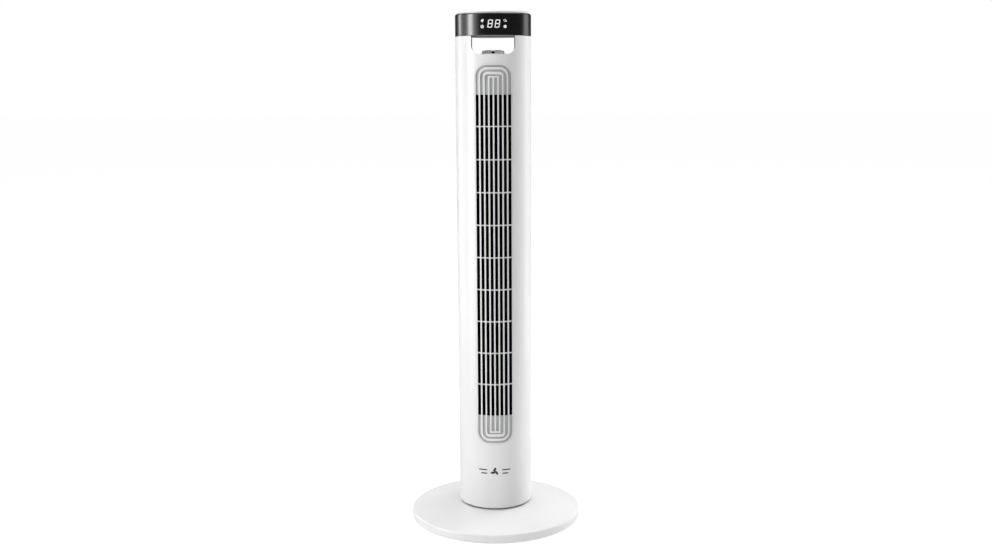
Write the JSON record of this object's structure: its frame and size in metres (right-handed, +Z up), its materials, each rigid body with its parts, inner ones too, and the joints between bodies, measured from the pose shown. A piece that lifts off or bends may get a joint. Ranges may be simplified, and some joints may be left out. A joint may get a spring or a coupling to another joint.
{
  "type": "tower fan",
  "caption": "Slim upright fan on a round foot, with a slotted outlet, a carrying hole and a display band under the top key panel.",
  "frame": {"origin": "on the floor under the middle of the round foot", "axes": "+Z up along the tower's swivel axis; the outlet grille and the display face -Y; +X is on the right seen from the front"},
  "size_m": [0.324, 0.324, 0.9599],
  "materials": {
    "white_plastic": "smooth gloss",
    "black_gloss": "polished smoked plastic",
    "black_plastic": "fine matt",
    "grey_plastic": "satin",
    "acetal": "satin",
    "rubber": "matt",
    "steel": "plated",
    "copper": "enamelled wire",
    "bronze": "sintered",
    "board": "coated",
    "dark_lens": "polished"
  },
  "bodies": {
    "base": {"base_cover": "white_plastic", "base_underplate": "black_plastic", "rubber_foot_1": "rubber", "rubber_foot_2": "rubber", "rubber_foot_3": "rubber", "rubber_foot_4": "rubber", "underplate_screw_1": "steel", "underplate_screw_2": "steel", "underplate_screw_3": "steel", "swivel_washer": "acetal", "swing_sector_gear": "acetal"},
    "tower": {"tower_floor": "white_plastic", "swivel_retainer": "acetal", "retainer_screw_1": "steel", "retainer_screw_2": "steel", "retainer_screw_3": "steel", "swing_motor": "steel", "front_shell": "white_plastic", "rear_shell": "white_plastic", "shell_screw_1": "steel", "shell_screw_2": "steel", "shell_screw_3": "steel", "shell_screw_4": "steel", "outlet_grille": "white_plastic", "intake_grille": "white_plastic", "motor_deck": "black_plastic", "bearing_deck": "black_plastic", "scroll_panel": "black_plastic", "tongue_panel": "black_plastic", "motor_top_bell": "steel", "motor_bottom_bell": "steel", "stator_core": "steel", "stator_winding": "copper", "motor_damper": "rubber", "bearing_rubber": "rubber", "bearing_bush": "bronze", "power_board": "board", "run_capacitor": "white_plastic", "cord_gland": "rubber", "handle_tunnel": "white_plastic", "head_chassis": "grey_plastic", "display_band": "black_gloss", "top_cover": "grey_plastic", "key_board": "board", "display_board": "board", "digit_module": "black_plastic", "display_cable": "grey_plastic"},
    "swing_pinion": {"swing_pinion": "acetal"},
    "rotor": {"impeller": "black_plastic", "motor_rotor": "steel"},
    "timer_key": {"timer_key": "white_plastic"},
    "mode_key": {"mode_key": "white_plastic"},
    "power_key": {"power_key": "white_plastic"},
    "speed_key": {"speed_key": "white_plastic"},
    "swing_key": {"swing_key": "white_plastic"},
    "remote": {"remote_case": "white_plastic", "remote_keypad": "grey_plastic", "remote_ir_window": "dark_lens"},
    "remote_tray": {"remote_battery_tray": "white_plastic", "coin_cell": "steel"}
  },
  "joints": [
    {"name": "tower_swing", "type": "hinge", "parent": "base", "child": "tower", "pos_m": [0, 0, 0.03], "axis": [0, 0, 1], "range_deg": [-35, 35]},
    {"name": "pinion_spin", "type": "hinge", "parent": "tower", "child": "swing_pinion", "pos_m": [0, -0.04375, 0.0235], "axis": [0, 0, 1], "range_deg": [-142, 142]},
    {"name": "impeller_spin", "type": "hinge", "parent": "tower", "child": "rotor", "pos_m": [0, 0.008, 0.5], "axis": [0, 0, 1], "continuous": true},
    {"name": "timer_press", "type": "slide", "parent": "tower", "child": "timer_key", "axis": [0, 0, -1], "range_m": [0, 0.0008], "stiffness_N_per_m": 400, "springref_m": -0.0005},
    {"name": "mode_press", "type": "slide", "parent": "tower", "child": "mode_key", "axis": [0, 0, -1], "range_m": [0, 0.0008], "stiffness_N_per_m": 400, "springref_m": -0.0005},
    {"name": "power_press", "type": "slide", "parent": "tower", "child": "power_key", "axis": [0, 0, -1], "range_m": [0, 0.0008], "stiffness_N_per_m": 400, "springref_m": -0.0005},
    {"name": "speed_press", "type": "slide", "parent": "tower", "child": "speed_key", "axis": [0, 0, -1], "range_m": [0, 0.0008], "stiffness_N_per_m": 400, "springref_m": -0.0005},
    {"name": "swing_press", "type": "slide", "parent": "tower", "child": "swing_key", "axis": [0, 0, -1], "range_m": [0, 0.0008], "stiffness_N_per_m": 400, "springref_m": -0.0005},
    {"name": "remote_slide", "type": "slide", "parent": "tower", "child": "remote", "axis": [0, 1, 0], "range_m": [0, 0.13]},
    {"name": "battery_tray_slide", "type": "slide", "parent": "remote", "child": "remote_tray", "axis": [0, 1, 0], "range_m": [0, 0.03]}
  ],
  "couplings": [
    {"joint": "pinion_spin", "follows": "tower_swing", "ratio": 4}
  ]
}
